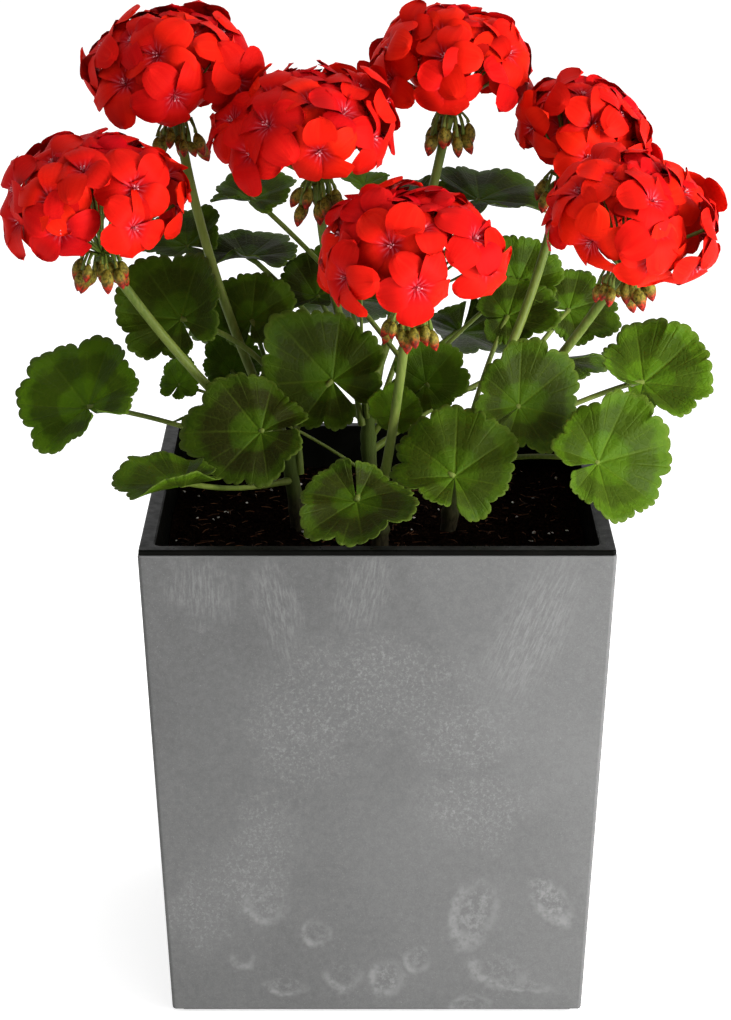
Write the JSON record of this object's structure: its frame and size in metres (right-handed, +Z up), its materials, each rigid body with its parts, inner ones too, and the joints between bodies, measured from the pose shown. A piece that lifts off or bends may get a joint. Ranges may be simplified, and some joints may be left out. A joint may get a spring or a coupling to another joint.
{
  "type": "planter box",
  "caption": "Tall square tapered planter box with a lift-out black grow pot, planted with a bushy red-flowered geranium.",
  "frame": {"origin": "middle of the flat underside of the plinth, on the ground", "axes": "+Z up, -Y towards the front face seen in use, +X to the right seen from the front"},
  "size_m": [0.4624, 0.3655, 0.6347],
  "materials": {
    "stone_shell": "grey stone-look moulded plastic, matt, finely speckled",
    "black_liner": "black satin moulded plastic",
    "plug_rubber": "matt black rubber",
    "clay": "expanded clay granules, rough",
    "soil": "dark potting soil with white perlite",
    "woody_stem": "green-brown woody stem",
    "green_stalk": "yellow-green downy stalk",
    "petal": "scarlet petals, velvety",
    "bud": "olive-green buds with red tips",
    "leaf": "green zoned leaf, downy matt"
  },
  "bodies": {
    "cover": {"cover_pot": "stone_shell"},
    "insert": {"grow_pot": "black_liner", "clay_granules": "clay", "potting_soil": "soil", "crown_stems": "woody_stem", "flower_stalk_1": "green_stalk", "flower_head_1": "petal", "bud_cluster_1": "bud", "flower_stalk_2": "green_stalk", "flower_head_2": "petal", "bud_cluster_2": "bud", "flower_stalk_3": "green_stalk", "flower_head_3": "petal", "bud_cluster_3": "bud", "flower_stalk_4": "green_stalk", "flower_head_4": "petal", "bud_cluster_4": "bud", "flower_stalk_5": "green_stalk", "flower_head_5": "petal", "bud_cluster_5": "bud", "flower_stalk_6": "green_stalk", "flower_head_6": "petal", "bud_cluster_6": "bud", "flower_stalk_7": "green_stalk", "flower_head_7": "petal", "bud_cluster_7": "bud", "leaf_01": "leaf", "leaf_02": "leaf", "leaf_03": "leaf", "leaf_04": "leaf", "leaf_05": "leaf", "leaf_06": "leaf", "leaf_07": "leaf", "leaf_08": "leaf", "leaf_09": "leaf", "leaf_10": "leaf", "leaf_11": "leaf", "leaf_12": "leaf", "leaf_13": "leaf", "leaf_14": "leaf", "leaf_15": "leaf", "leaf_16": "leaf", "leaf_17": "leaf", "leaf_18": "leaf", "leaf_19": "leaf", "leaf_20": "leaf", "leaf_21": "leaf", "leaf_22": "leaf", "leaf_23": "leaf", "leaf_24": "leaf", "leaf_25": "leaf", "leaf_26": "leaf", "leaf_27": "leaf", "leaf_28": "leaf", "leaf_29": "leaf", "leaf_30": "leaf", "leaf_31": "leaf", "leaf_32": "leaf"},
    "plug": {"drain_plug": "plug_rubber"}
  },
  "joints": [
    {"name": "insert_lift", "type": "slide", "parent": "cover", "child": "insert", "axis": [0, 0, 1], "range_m": [0, 0.31]},
    {"name": "plug_pull", "type": "slide", "parent": "cover", "child": "plug", "axis": [0, 0, 1], "range_m": [0, 0.012]}
  ]
}
